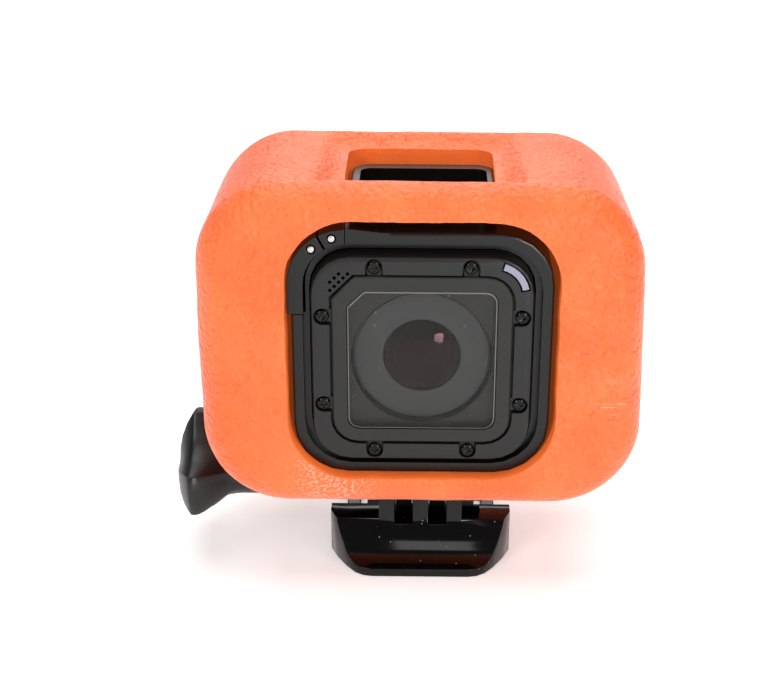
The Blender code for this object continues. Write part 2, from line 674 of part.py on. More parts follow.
def card_and_port(mouth, y):
    """The card in its holder and the socket under it, both open towards the door."""
    long, thick, tall = CARD_SLOT
    middle = LENS_HEIGHT + CARD_UP + tall / 2
    wall = 1 * MM
    slot = block(
        "card_slot", (mouth - long, y - thick / 2, middle - tall / 2),
        (mouth, y + thick / 2, middle + tall / 2), cell_silver,
    )
    card_long, card_thick, card_tall = CARD_SIZE
    room = card_thick / 2 + GAP
    cut(slot, block(
        "card_gap", (mouth - long + wall, y - room, middle - tall),
        (mouth + PAST, y + room, middle + tall / 2 - wall),
    ))
    card_end = mouth - long + wall + GAP
    card_top = middle + tall / 2 - wall - GAP
    block(
        "memory_card", (card_end, y - card_thick / 2, card_top - card_tall),
        (card_end + card_long, y + card_thick / 2, card_top), chip_dark,
    )
    long, thick, tall = PORT_SIZE
    low = Vector((mouth - long, y - thick / 2, LENS_HEIGHT - PORT_DOWN - tall / 2))
    high = low + Vector(PORT_SIZE)
    inset = Vector((0, PORT_WALL, PORT_WALL))
    port = block("usb_port", low, high, steel)
    cut(port, block("port_gap", low + inset + Vector((1 * MM, 0, 0)), high - inset + Vector((PAST, 0, 0))))


def electronics():
    board = MAIN_BOARD_SETBACK
    half = CAVITY_HALF - MAIN_BOARD_MARGIN
    square("main_board", half, board, board + BOARD_THICK, board_green, corner=4 * MM, segments=3)
    cell_low = LENS + Vector((
        BATTERY_MARGIN[0] - CAVITY_HALF, board + BOARD_THICK + GAP, BATTERY_MARGIN[1] - CAVITY_HALF
    ))
    cell_high = cell_low + Vector(BATTERY_SIZE)
    block("battery", cell_low, cell_high, cell_silver, axis=Z, corner=1.5 * MM, segments=3)
    speaker_r, speaker_depth = SPEAKER_SIZE
    back = CASE_DEPTH - CASE_WALL - GAP
    front = LENS + Vector((SPEAKER_IN[0] - CAVITY_HALF, back - speaker_depth, SPEAKER_IN[1] - CAVITY_HALF))
    rod("speaker", speaker_r, front, front + Vector((0, speaker_depth, 0)), chip_dark, 24)
    mic_z = CAVITY_HALF - MIC_IN[1] - MIC_SIZE[2]
    mic_low = LENS + Vector((MIC_IN[0] - CAVITY_HALF, BEZEL_DEPTH + GAP, mic_z))
    block("microphone", mic_low, mic_low + Vector(MIC_SIZE), cell_silver)
    light_arc("led_light_pipe", 0, 0, BEZEL_DEPTH, lilac_lens)


def frame_square(name, half, y0, y1, look=None, **rounding):
    """A block centred on the lens axis, between two world distances along Y."""
    return block(name, (-half, y0, LENS_HEIGHT - half), (half, y1, LENS_HEIGHT + half), look, **rounding)


def frame():
    front, rear = FRAME_FRONT_Y, FRAME_REAR_Y
    band = frame_square("frame_band", FRAME_HALF, front, rear, satin_black, corner=FRAME_CORNER,
                        ends=(-1, 1), edge=0.6 * MM)
    hood_y = FACE_Y + HOOD_SETBACK
    wide, long = HOOD_SIZE[0] / 2, HOOD_SIZE[1] / 2
    top = LENS_HEIGHT + FRAME_HALF
    join(band, block(
        "hood", (-wide, hood_y - long, top - FRAME_WALL / 2), (wide, hood_y + long, top + HOOD_HEIGHT),
        axis=Z, corner=HOOD_CORNER, ends=(1,), edge=0.7 * MM,
    ))
    start = GAP - LATCH_TOP_REACH
    join(band, prism(
        "top_swell", swell(start, LATCH_PROUD, FRAME_HALF), Y, front, front + SWELL_DEPTH,
    ))
    for side in (-1, 1):
        joined_at = LENS_HEIGHT - FRAME_HALF + FRAME_WALL / 2
        join(band, finger("frame_finger", side * FINGER_PITCH / 2, joined_at))
    inner_corner = CASE_CORNER + SLIP
    beside = Vector((FINGER_SPAN + PAST, 0, 0))
    cut(
        band,
        frame_square("frame_cavity", FRAME_INNER, front - PAST, BACK_Y + SLIP, corner=inner_corner),
        frame_square("rim_step", FRAME_INNER + RIM_STEP, front - PAST, front + RIM_STEP_DEPTH,
                     corner=inner_corner + RIM_STEP),
        frame_square("lip_opening", LIP_OPENING / 2, BACK_Y - PAST, rear + PAST, corner=5 * MM),
        block("hood_window", (-wide + HOOD_SIDE, hood_y - long + HOOD_FRONT, top - 2 * FRAME_WALL),
              (wide - HOOD_SIDE, hood_y + long - HOOD_REAR, top + HOOD_HEIGHT + PAST),
              axis=Z, corner=HOOD_CORNER - HOOD_SIDE),
        rod("frame_finger_bore", SHANK_R + GAP, PIVOT - beside, PIVOT + beside),
    )
    latch(band)


def swell(start, height, level):
    """Outline of an S-shaped rise on the frame's top, full at start and gone after SWELL_LENGTH."""
    base = LENS_HEIGHT + level
    steps = 10
    outline = [(start + SWELL_LENGTH, base - FRAME_WALL / 2), (start, base - FRAME_WALL / 2)]
    for i in range(steps + 1):
        share = i / steps
        drop = share**2 * (3 - 2 * share)
        outline.append((start + SWELL_LENGTH * share, base + height * (1 - drop) - TAB_STEP * share))
    return outline


def latch_ring(name, half, inner_half, y0, y1, look=None):
    """The square ring that the latch is a corner of."""
    centre = FRAME_HALF - FRAME_CORNER
    ring = frame_square(name, half, y0, y1, look, corner=half - centre, segments=8)
    inside = frame_square(
        name + "_inside", inner_half, y0 - PAST, y1 + PAST, corner=inner_half - centre, segments=8
    )
    cut(ring, inside)
    return ring


def latch(band):
    """A lever down the side and a link along the top, each on its own steel pin, over the split corner."""
    outer = FRAME_HALF + LATCH_PROUD
    inner = outer - LATCH_THICK
    y0, y1 = FRAME_FRONT_Y, FRAME_FRONT_Y + LATCH_DEPTH
    far = 2 * FRAME_HALF
    corner = Vector((-(FRAME_HALF - FRAME_CORNER), 0, LENS_HEIGHT + FRAME_HALF - FRAME_CORNER))
    parting = math.radians(sum(PIN_ANGLES) / 2)
    split = far * Vector((math.cos(parting), 0, math.sin(parting)))
    across = Vector((math.sin(parting), 0, -math.cos(parting)))
    bottom = LENS_HEIGHT + LATCH_SIDE_REACH

    def region(name, side):
        """Everything on one side of the parting line."""
        start = corner + across * side * GAP / 2
        edge = [start - split, start + split]
        away = across * side * far
        outline = [edge[0], edge[1], edge[1] + away, edge[0] + away]
        return prism(name, [(p.x, p.z) for p in outline], Y, y0 - far, y1 + far)

    def reach(name, margin):
        return block(name, (-far, y0 - PAST - margin, bottom - margin),
                     (-LATCH_TOP_REACH + margin, y1 + margin, LENS_HEIGHT + far))

    notch = latch_ring("latch_notch", outer + PAST, inner - GAP, y0 - PAST, y1 + GAP)
    keep_inside(notch, reach("notch_reach", GAP))
    cut(band, notch)
    for name, side in (("latch_link", 1), ("latch_lever", -1)):
        piece = latch_ring(name, outer, inner, y0, y1, satin_black)
        keep_inside(piece, reach(name + "_reach", 0))
        keep_inside(piece, region(name + "_region", side))
        turn = math.radians(PIN_ANGLES[0] if side > 0 else PIN_ANGLES[1])
        pin_at = corner + PIN_ROUND * Vector((math.cos(turn), 0, math.sin(turn)))
        pin_start = Vector((pin_at.x, y0, pin_at.z))
        depth = Vector((0, y1 - y0, 0))
        rod(name + "_pin", PIN_R, pin_start - Vector((0, 0.1 * MM, 0)), pin_start + depth, steel, 16)
        cut(piece, rod(name + "_pin_hole", PIN_R + RUN, pin_start - depth, pin_start + 2 * depth, None, 16))


def finger(name, x, joined_at, look=None):
    """One mounting finger: a rounded end about the pivot and a straight root up or down to joined_at."""
    up = joined_at > PIVOT_HEIGHT
    start, end = (180, 360) if up else (0, 180)
    outline = arc((0, PIVOT_HEIGHT), FINGER_R, start, end, 14)
    outline += [(FINGER_R if up else -FINGER_R, joined_at), (-FINGER_R if up else FINGER_R, joined_at)]
    return prism(name, outline, X, x - FINGER_THICK / 2, x + FINGER_THICK / 2, look)


def foam():
    jacket = block(
        "foam_jacket", (-FOAM_HALF, FOAM_FRONT_Y, FOAM_BOTTOM), (FOAM_HALF, FOAM_BACK_Y, FOAM_TOP),
        foam_orange, corner=FOAM_CORNER, segments=8, ends=(-1, 1), edge=FOAM_EDGE, steps=4,
    )
    side = FRAME_HALF + CHANNEL_SIDE
    ceiling = LENS_HEIGHT + FRAME_HALF + CHANNEL_ABOVE
    channel_floor = LENS_HEIGHT - FRAME_HALF - GAP
    cut(jacket, block(
        "channel", (-side, FOAM_FRONT_Y - PAST, channel_floor), (side, FOAM_BACK_Y + PAST, ceiling),
        corner=CHANNEL_CORNER, segments=8,
    ))
    hole_y = FACE_Y + TOP_HOLE_SETBACK
    wide, long = TOP_HOLE[0] / 2, TOP_HOLE[1] / 2
    cut(jacket, block(
        "top_hole", (-wide, hole_y - long, LENS_HEIGHT), (wide, hole_y + long, FOAM_TOP + PAST),
        axis=Z, corner=4 * MM,
    ))
    cut(jacket, dish())
    hub_start = (-FOAM_HALF - PAST, 0, PIVOT_HEIGHT)
    cut(
        jacket,
        block("finger_slot", (-SLOT_HALF, -SLOT_FRONT, FOAM_BOTTOM - PAST),
              (SLOT_HALF, FOAM_BACK_Y + PAST, channel_floor + PAST), axis=Z, corner=3 * MM),
        rod("hub_groove", HUB_R + 2 * GAP, hub_start, (0, 0, PIVOT_HEIGHT), None, 28),
    )


def dish():
    """The hollow round the top hole, whose sides slope out to the dish's own size."""
    floor, middle = FOAM_TOP - DISH_DEPTH, FACE_Y + DISH_SETBACK
    wide, long = DISH_SIZE
    shape = block(
        "dish", (-wide / 2, middle - long / 2, floor), (wide / 2, middle + long / 2, FOAM_TOP + PAST),
        axis=Z, corner=6 * MM,
    )
    for vert in shape.data.vertices:
        if near(vert.co.z, floor):
            vert.co.x *= (TOP_HOLE[0] + 2 * DISH_LEDGE) / wide
            across = (vert.co.y - middle) * (TOP_HOLE[1] + 2 * DISH_LEDGE) / long
            vert.co.y = FACE_Y + TOP_HOLE_SETBACK + across
    return shape


def head_top(y):
    """Height of the head's hollow front slope."""
    share = max(0, (y + HEAD_FRONT) / (HEAD_FRONT - HEAD_SLOPE_FROM))
    return HEAD_LIP + (HEAD_HEIGHT - HEAD_LIP) * min(1, share) ** 2.2


def buckle():
    right = [(HEAD_HALF, -HEAD_REAR), (HEAD_HALF, -HEAD_WIDEST)]
    right += [(x, -y) for x, y in HEAD_CORNERS]
    right.append((HEAD_FLAT_HALF, -HEAD_FRONT))
    plan = [(-x, y) for x, y in right] + right[::-1]
    body = prism("buckle_body", plan, Z, 0, HEAD_HEIGHT, gloss_black)
    steps = 8
    run = (HEAD_FRONT - HEAD_SLOPE_FROM) / steps
    slope = [(-HEAD_FRONT + run * i, head_top(-HEAD_FRONT + run * i)) for i in range(steps + 1)]
    slope = [(-HEAD_FRONT - PAST, HEAD_LIP)] + slope + [
        (-HEAD_SLOPE_FROM, HEAD_HEIGHT + PAST), (-HEAD_FRONT - PAST, HEAD_HEIGHT + PAST)
    ]
    cut(body, prism("head_slope", slope, X, -HEAD_HALF - PAST, HEAD_HALF + PAST))
    join(body, block(
        "tongue", (-TONGUE_HALF, -HEAD_REAR - PAST, 0), (TONGUE_HALF, TONGUE_REAR, TONGUE_HEIGHT),
        axis=Z, corner=2 * MM, segments=3,
    ))
    join(body, block(
        "finger_base", (-BASE_HALF, -FINGER_R, TONGUE_HEIGHT / 2),
        (BASE_HALF, FINGER_R, FINGER_FLOOR - GAP),
    ))
    for side in (-1, 0, 1):
        join(body, finger("buckle_finger", side * FINGER_PITCH, TONGUE_HEIGHT / 2))
    boss_end = FINGER_SPAN + BOSS_DEPTH
    boss_start = FINGER_SPAN - FINGER_THICK / 2
    join(body, rod("nut_boss", BOSS_R, (boss_start, 0, PIVOT_HEIGHT), (boss_end, 0, PIVOT_HEIGHT)))
    for side in (-1, 1):
        middle, half_gap = side * FINGER_PITCH / 2, FINGER_THICK / 2 + GAP
        cut(body, block(
            "finger_gap", (middle - half_gap, -HEAD_FRONT, FINGER_FLOOR - GAP),
            (middle + half_gap, FINGER_R + PAST, PIVOT_HEIGHT),
        ))
    nut_r = (NUT_FLATS / 2) / math.cos(math.radians(30))
    nut_start = boss_end - NUT_THICK
    past_boss = (boss_end + PAST, 0, PIVOT_HEIGHT)
    cut(
        body,
        rod("screw_bore", SHANK_R + GAP, (-FINGER_SPAN - PAST, 0, PIVOT_HEIGHT), past_boss),
        rod("nut_pocket", nut_r + GAP, (nut_start - GAP, 0, PIVOT_HEIGHT), past_boss, None, 6),
    )
    nut = rod("hex_nut", nut_r, (nut_start, 0, PIVOT_HEIGHT), (boss_end, 0, PIVOT_HEIGHT), steel, 6)
    cut(nut, rod("nut_bore", SHANK_R + GAP, (nut_start - PAST, 0, PIVOT_HEIGHT), past_boss))
    for name, side in (("buckle_arm_left", -1), ("buckle_arm_right", 1)):
        arm(name, side)


def arm(name, side):
    """A springy side arm with its finger pad, hinged in the model where it leaves the head."""
    root_y = -HEAD_REAR + GAP
    inner, outer = side * (ARM_OUTER - ARM_THICK), side * ARM_OUTER
    end = TONGUE_REAR + PAD_TAIL
    bar = block(
        name, (min(inner, outer), root_y, ARM_LIFT), (max(inner, outer), end, ARM_HEIGHT), gloss_black,
        axis=Y, corner=0.5 * MM, segments=2,
    )
    flare = side * (ARM_OUTER + PAD_FLARE)
    join(bar, block(
        name + "_pad", (min(inner, flare), end - PAD_LENGTH, 0), (max(inner, flare), end, PAD_HEIGHT),
        axis=Z, corner=0.8 * MM, segments=3,
    ))
    set_origin(bar, ((inner + outer) / 2, root_y, 0))


def knob_radius(turn):
    """Radius of the full lobes, between which three round flutes are scooped."""
    depth = KNOB_FLUTE_R
    along = KNOB_R * math.cos(KNOB_FLUTE_HALF)
    middle = (KNOB_R**2 - depth**2) / (2 * (along - depth))
    third = 2 * math.pi / 3
    off = turn % third - third / 2
    root = (middle - depth) ** 2 - (middle * math.sin(off)) ** 2
    return min(KNOB_R, middle * math.cos(off) - math.sqrt(root)) if root > 0 else KNOB_R


def thumb_screw():
    """The lobed knob with its long hub, and the steel screw moulded into it."""
    start = -FINGER_SPAN - GAP
    sides = 48
    stations = [(start, 0, 1)]
    steps = 8
    for i in range(steps + 1):
        share = i / steps
        x = -HUB_END - (KNOB_FULL - HUB_END) * share
        stations.append((x, share**2 * (3 - 2 * share), 1))
    stations += [(-KNOB_FULL - (KNOB_END - KNOB_FULL) * share, 1, size) for share, size in KNOB_DOME]
    bm = bmesh.new()
    loops = []
    for x, full, size in stations:
        loop = []
        for i in range(sides):
            turn = 2 * math.pi * i / sides
            radius = size * (HUB_R + full * (knob_radius(turn) - HUB_R))
            y, z = -math.sin(turn + KNOB_TURN), math.cos(turn + KNOB_TURN)
            loop.append(bm.verts.new((x, radius * y, PIVOT_HEIGHT + radius * z)))
        loops.append(loop)
    for a, b in zip(loops, loops[1:]):
        for i in range(sides):
            bm.faces.new((a[i], a[(i + 1) % sides], b[(i + 1) % sides], b[i]))
    bm.faces.new(loops[0])
    bm.faces.new(loops[-1])
    knob = from_bmesh("thumb_screw_knob", bm, satin_black)
    screw_end = SCREW_DEPTH - KNOB_FULL
    bore_end = (start + PAST, 0, PIVOT_HEIGHT)
    cut(knob, rod("knob_bore", SHANK_R + GAP, (screw_end - GAP, 0, PIVOT_HEIGHT), bore_end))
    set_origin(knob, PIVOT)
    tip = FINGER_SPAN + BOSS_DEPTH + 0.6 * MM
    shank = rod("thumb_screw_shank", SHANK_R, (screw_end, 0, PIVOT_HEIGHT), (tip, 0, PIVOT_HEIGHT), steel)
    set_origin(shank, PIVOT)


front_bezel()
lens_cover()
cover_screws()
lens()
case()
electronics()
frame()
foam()
buckle()
thumb_screw()
for part in parts.objects:
    part.data.shade_smooth()
    part.data.set_sharp_from_angle(angle=math.radians(35))
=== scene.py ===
import json
import math

import bmesh
import bpy
from mathutils import Matrix, Vector, noise


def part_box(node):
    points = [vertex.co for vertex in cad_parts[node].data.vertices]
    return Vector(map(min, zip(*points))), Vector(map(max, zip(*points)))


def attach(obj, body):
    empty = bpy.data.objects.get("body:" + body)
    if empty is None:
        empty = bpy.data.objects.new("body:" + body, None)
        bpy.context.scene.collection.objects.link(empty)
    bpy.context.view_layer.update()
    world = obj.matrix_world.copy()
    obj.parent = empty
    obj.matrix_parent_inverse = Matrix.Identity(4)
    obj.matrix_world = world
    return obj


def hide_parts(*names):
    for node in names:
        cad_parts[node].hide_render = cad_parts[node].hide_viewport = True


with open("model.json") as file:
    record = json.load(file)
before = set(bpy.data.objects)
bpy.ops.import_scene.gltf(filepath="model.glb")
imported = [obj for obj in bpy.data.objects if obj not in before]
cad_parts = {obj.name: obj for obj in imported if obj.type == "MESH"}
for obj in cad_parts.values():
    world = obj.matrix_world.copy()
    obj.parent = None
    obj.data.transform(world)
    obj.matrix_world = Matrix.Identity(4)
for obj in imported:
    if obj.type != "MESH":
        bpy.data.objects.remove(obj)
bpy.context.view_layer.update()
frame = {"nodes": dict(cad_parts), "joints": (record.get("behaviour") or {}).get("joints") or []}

mm = 0.001
nodes = frame["nodes"]
scene = bpy.context.scene
caseLow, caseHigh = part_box("front_bezel")
lensX = (caseLow.x + caseHigh.x) / 2
lensZ = (caseLow.z + caseHigh.z) / 2
faceY = caseLow.y
faceCentre = Vector((lensX, faceY, lensZ))
pivotZ = frame["joints"][0]["pos_m"][2]


viewOf = {
    "distance": 250 * mm,  # from the middle of the face
    "elevation": 23.6,  # degrees above the horizon
    "roll": 0.53,
    "lens": 66.9,
    "shift": (-0.0408, 0.0313),
}


def addCamera():
    lift = math.radians(viewOf["elevation"])
    away = Vector((0, -math.cos(lift), math.sin(lift))) * viewOf["distance"]
    data = bpy.data.cameras.new("studioCamera")
    data.lens = viewOf["lens"]
    data.sensor_width = 36
    data.shift_x, data.shift_y = viewOf["shift"]
    data.clip_start = 5 * mm
    data.clip_end = 20
    camera = bpy.data.objects.new("studioCamera", data)
    scene.collection.objects.link(camera)
    camera.location = faceCentre + away
    roll = Matrix.Rotation(math.radians(viewOf["roll"]), 4, "Z")
    turn = Matrix.Rotation(math.radians(90) - lift, 4, "X") @ roll
    camera.rotation_euler = turn.to_euler()
    scene.camera = camera


addCamera()
scene.view_settings.view_transform = "Standard"
print("camera is in place")


def sRgb(code, alpha=1.0):
    # hex to linear
    channels = [int(code[i:i + 2], 16) / 255 for i in (1, 3, 5)]
    linear = [c / 12.92 if c <= 0.04045 else ((c + 0.055) / 1.055) ** 2.4 for c in channels]
    return (*linear, alpha)


def addNode(tree, kind, settings=None, **sockets):
    # adds a node; each socket takes a value or another node's output
    node = tree.nodes.new(kind)
    for key, value in (settings or {}).items():
        setattr(node, key, value)
    for key, value in sockets.items():
        numbered = key[0] == "i" and key[1:].isdigit()
        socket = node.inputs[int(key[1:]) if numbered else key.replace("_", " ")]
        if isinstance(value, bpy.types.NodeSocket):
            tree.links.new(value, socket)
        else:
            socket.default_value = value
    return node


def newMaterial(name, colour, roughness, **more):
    # a Principled material; more holds the sockets that are the same all over
    made = bpy.data.materials.new(name)
    made.use_nodes = True
    shader = made.node_tree.nodes["Principled BSDF"]
    shader.inputs["Base Color"].default_value = sRgb(colour)
    shader.inputs["Roughness"].default_value = roughness
    for key, value in more.items():
        shader.inputs[key.replace("_", " ")].default_value = value
    return made, made.node_tree, shader


def inMillimetres(tree):
    # object coordinates in mm, so that a scale of 1 / size gives features of that size
    place = addNode(tree, "ShaderNodeTexCoord")
    scaled = addNode(tree, "ShaderNodeMapping", Vector=place.outputs["Object"], Scale=(1000, 1000, 1000))
    return scaled.outputs[0]


def addBump(tree, shader, height, strength, depth, under=None):
    bump = addNode(tree, "ShaderNodeBump", Strength=strength, Distance=depth * mm, Height=height)
    if under:
        tree.links.new(under, bump.inputs["Normal"])
    tree.links.new(bump.outputs[0], shader.inputs["Normal"])
    return bump.outputs[0]


def varyColour(tree, shader, factor, dark, light):
    # the colour runs between two shades with the factor
    mix = addNode(tree, "ShaderNodeMix", {"data_type": "RGBA"}, Factor=factor)
    mix.inputs[6].default_value = sRgb(dark)
    mix.inputs[7].default_value = sRgb(light)
    tree.links.new(mix.outputs[2], shader.inputs["Base Color"])
    return mix.outputs[2]


def varyRoughness(tree, shader, factor, low, high):
    spread = addNode(tree, "ShaderNodeMapRange", Value=factor, To_Min=low, To_Max=high)
    tree.links.new(spread.outputs[0], shader.inputs["Roughness"])


evaFoam = {
    "skin": "#FC6220", "skinPale": "#FF7032",
    # the second colour on the next line is a painted highlight along the foam's cut edges
    "cut": "#FF7A34", "lip": "#FFC2A2", "rubbed": "#FFD6C2",
    "pebble": 0.85,  # mm across one grain of the moulded skin
    "crease": 1.9, "blotch": 13.0, "cell": 0.4,
}


def wornPatch(tree, place, spot, reach, stretch, level):
    # a mask for rubs within reach mm of a spot, drawn out along the way they were rubbed
    away = addNode(tree, "ShaderNodeVectorMath", {"operation": "DISTANCE"}, i0=place, i1=spot)
    near = addNode(
        tree, "ShaderNodeMapRange", Value=away.outputs["Value"], From_Min=reach, From_Max=reach * 0.4)
    drawn = addNode(tree, "ShaderNodeMapping", Vector=place, Scale=stretch)
    grain = addNode(tree, "ShaderNodeTexNoise", Vector=drawn.outputs[0], Scale=1.0, Detail=4.0)
    rubbed = addNode(
        tree, "ShaderNodeMapRange", Value=grain.outputs[0], From_Min=level, From_Max=level + 0.05)
    mask = addNode(
        tree, "ShaderNodeMath", {"operation": "MULTIPLY"}, i0=near.outputs[0], i1=rubbed.outputs[0])
    return mask.outputs[0]


def makeFoamSkin():
    # closed-cell EVA from a leather-grained tool: a soft sheen, and each grain catches its own small light
    made, tree, shader = newMaterial(
        "mouldedEvaSkin", evaFoam["skin"], 0.5, Specular_IOR_Level=0.5, Sheen_Weight=0.3, Sheen_Roughness=0.4)
    place = inMillimetres(tree)
    crease = addNode(
        tree, "ShaderNodeTexNoise", Vector=place, Scale=1 / evaFoam["crease"], Detail=4.0, Distortion=0.9)
    pebble = addNode(
        tree, "ShaderNodeTexVoronoi", {"feature": "SMOOTH_F1"}, Vector=place, Scale=1 / evaFoam["pebble"])
    blotch = addNode(tree, "ShaderNodeTexNoise", Vector=place, Scale=1 / evaFoam["blotch"], Detail=3.0)
    where = addNode(tree, "ShaderNodeMapRange", Value=blotch.outputs[0], From_Min=0.35, From_Max=0.65)
    plain = varyColour(tree, shader, where.outputs[0], evaFoam["skin"], evaFoam["skinPale"])
    rubs = wornPatch(tree, place, (-15.5, faceY / mm, lensZ / mm - 22.5), 9.0, (1.6, 1.6, 2.4), 0.52)
    scratches = wornPatch(tree, place, (33.5, faceY / mm, lensZ / mm - 7), 5.0, (0.16, 1.0, 3.0), 0.63)
    both = addNode(tree, "ShaderNodeMath", {"operation": "MAXIMUM"}, i0=rubs, i1=scratches)
    share = addNode(tree, "ShaderNodeMath", {"operation": "MULTIPLY"}, i0=both.outputs[0], i1=0.35)
    worn = addNode(
        tree, "ShaderNodeMix", {"data_type": "RGBA"},
        Factor=share.outputs[0], i6=plain, i7=sRgb(evaFoam["rubbed"]))
    tree.links.new(worn.outputs[2], shader.inputs["Base Color"])
    varyRoughness(tree, shader, crease.outputs[0], 0.26, 0.56)
    coarse = addBump(tree, shader, crease.outputs[0], 1.0, 0.6)
    addBump(tree, shader, pebble.outputs[0], 1.0, 0.34, coarse)
    return made


def makeFoamCut():
    # knife-cut EVA: open cells and no sheen; a faint emission in the foam's own colour is painted light that
    # brightens the cut walls
    made, tree, shader = newMaterial(
        "cutEva", evaFoam["cut"], 0.85, Specular_IOR_Level=0.2,
        Emission_Color=sRgb(evaFoam["cut"]), Emission_Strength=0.16)
    place = inMillimetres(tree)
    cell = addNode(tree, "ShaderNodeTexVoronoi", Vector=place, Scale=1 / evaFoam["cell"])
    drag = addNode(tree, "ShaderNodeTexNoise", Vector=place, Scale=1 / 1.6, Detail=4.0)
    varyColour(tree, shader, drag.outputs[0], evaFoam["cut"], evaFoam["skinPale"])
    rough = addBump(tree, shader, drag.outputs[0], 0.5, 0.25)
    addBump(tree, shader, cell.outputs[0], 0.5, 0.08, rough)
    return made


def makeEdgeHighlightPaint():
    # a paler colour for the narrow bevel where skin meets cut wall: a painted highlight along that edge
    made, tree, shader = newMaterial("paintedEdgeHighlight", evaFoam["lip"], 0.7)
    edgeStreak = addNode(tree, "ShaderNodeTexNoise", Vector=inMillimetres(tree), Scale=1 / 0.8, Detail=3.0)
    varyColour(tree, shader, edgeStreak.outputs[0], evaFoam["skinPale"], evaFoam["lip"])
    addBump(tree, shader, edgeStreak.outputs[0], 0.4, 0.1)
    return made


def mouldedPlastic(name, colour, roughness, grit, depth, scuff=0.06, **more):
    # ABS or nylon from a spark-eroded tool: an even fine grit of that size in mm, faintly scuffed
    made, tree, shader = newMaterial(name, colour, roughness, **more)
    place = inMillimetres(tree)
    fine = addNode(tree, "ShaderNodeTexNoise", Vector=place, Scale=1 / grit, Detail=2.0)
    wide = addNode(tree, "ShaderNodeTexNoise", Vector=place, Scale=1 / 6.0, Detail=4.0)
    varyRoughness(tree, shader, wide.outputs[0], roughness - scuff, roughness + scuff)
    addBump(tree, shader, fine.outputs[0], 0.35, depth)
    return made, tree, shader, place


def makeGlossAcetal():
    # injection-moulded acetal with a polished face: deep black, mirror-like, and it holds dust
    made, tree, shader = newMaterial("polishedAcetal", "#080808", 0.09, Specular_IOR_Level=0.3)
    place = inMillimetres(tree)
    ripple = addNode(tree, "ShaderNodeTexNoise", Vector=place, Scale=1 / 7.0, Detail=2.0)
    dust = addNode(tree, "ShaderNodeTexVoronoi", Vector=place, Scale=1 / 1.3)
    speck = addNode(
        tree, "ShaderNodeMapRange", Value=dust.outputs[0],
        From_Min=0.06, From_Max=0.11, To_Min=1.0, To_Max=0.0)
    some = addNode(tree, "ShaderNodeTexNoise", Vector=place, Scale=1 / 5.0, Detail=1.0)
    where = addNode(tree, "ShaderNodeMapRange", Value=some.outputs[0], From_Min=0.52, From_Max=0.6)
    shown = addNode(
        tree, "ShaderNodeMath", {"operation": "MULTIPLY"}, i0=speck.outputs[0], i1=where.outputs[0])
    varyColour(tree, shader, shown.outputs[0], "#080808", "#8A8682")
    varyRoughness(tree, shader, shown.outputs[0], 0.09, 0.7)
    addBump(tree, shader, ripple.outputs[0], 0.12, 0.05)
    return made


def makeSteel(name, colour, roughness, turning):
    # turned or rolled steel, with fine tool marks that far apart in mm
    made, tree, shader = newMaterial(name, colour, roughness, Metallic=1.0)
    marks = addNode(tree, "ShaderNodeTexNoise", Vector=inMillimetres(tree), Scale=1 / turning, Detail=3.0)
    varyRoughness(tree, shader, marks.outputs[0], roughness * 0.8, roughness * 1.3)
    addBump(tree, shader, marks.outputs[0], 0.2, 0.02)
    return made


def makeClearGlass():
    # toughened window glass, seen through, with a few specks of dust
    made, tree, shader = newMaterial("toughenedGlass", "#20221F", 0.03, IOR=1.5, Alpha=0.12)
    dust = addNode(tree, "ShaderNodeTexVoronoi", Vector=inMillimetres(tree), Scale=1 / 3.1)
    speck = addNode(
        tree, "ShaderNodeMapRange", Value=dust.outputs[0],
        From_Min=0.03, From_Max=0.05, To_Min=0.9, To_Max=0.12)
    tree.links.new(speck.outputs[0], shader.inputs["Alpha"])
    varyColour(tree, shader, speck.outputs[0], "#20221F", "#B8B4B0")
    return made


def makeLensGlass(name, tint, alpha):
    # coated optical glass: nearly black, with a purple bloom where it catches the light
    made, tree, shader = newMaterial(
        name, tint, 0.02, IOR=1.5, Alpha=alpha, Specular_IOR_Level=0.3, Specular_Tint=sRgb("#F0AEBA"))
    rub = addNode(tree, "ShaderNodeTexNoise", Vector=inMillimetres(tree), Scale=1 / 3.0, Detail=2.0)
    varyRoughness(tree, shader, rub.outputs[0], 0.015, 0.05)
    return made


def makeBoard():
    # glass-fibre circuit board under green solder resist
    made, tree, shader = newMaterial("solderResist", "#0E4A2A", 0.35)
    place = inMillimetres(tree)
    tracks = addNode(tree, "ShaderNodeTexBrick", {"offset": 0.5}, Vector=place, Scale=1.0, Mortar_Size=0.06)
    varyColour(tree, shader, tracks.outputs["Fac"], "#0E4A2A", "#1C6A3E")
    addBump(tree, shader, tracks.outputs["Fac"], 0.3, 0.03)
    return made


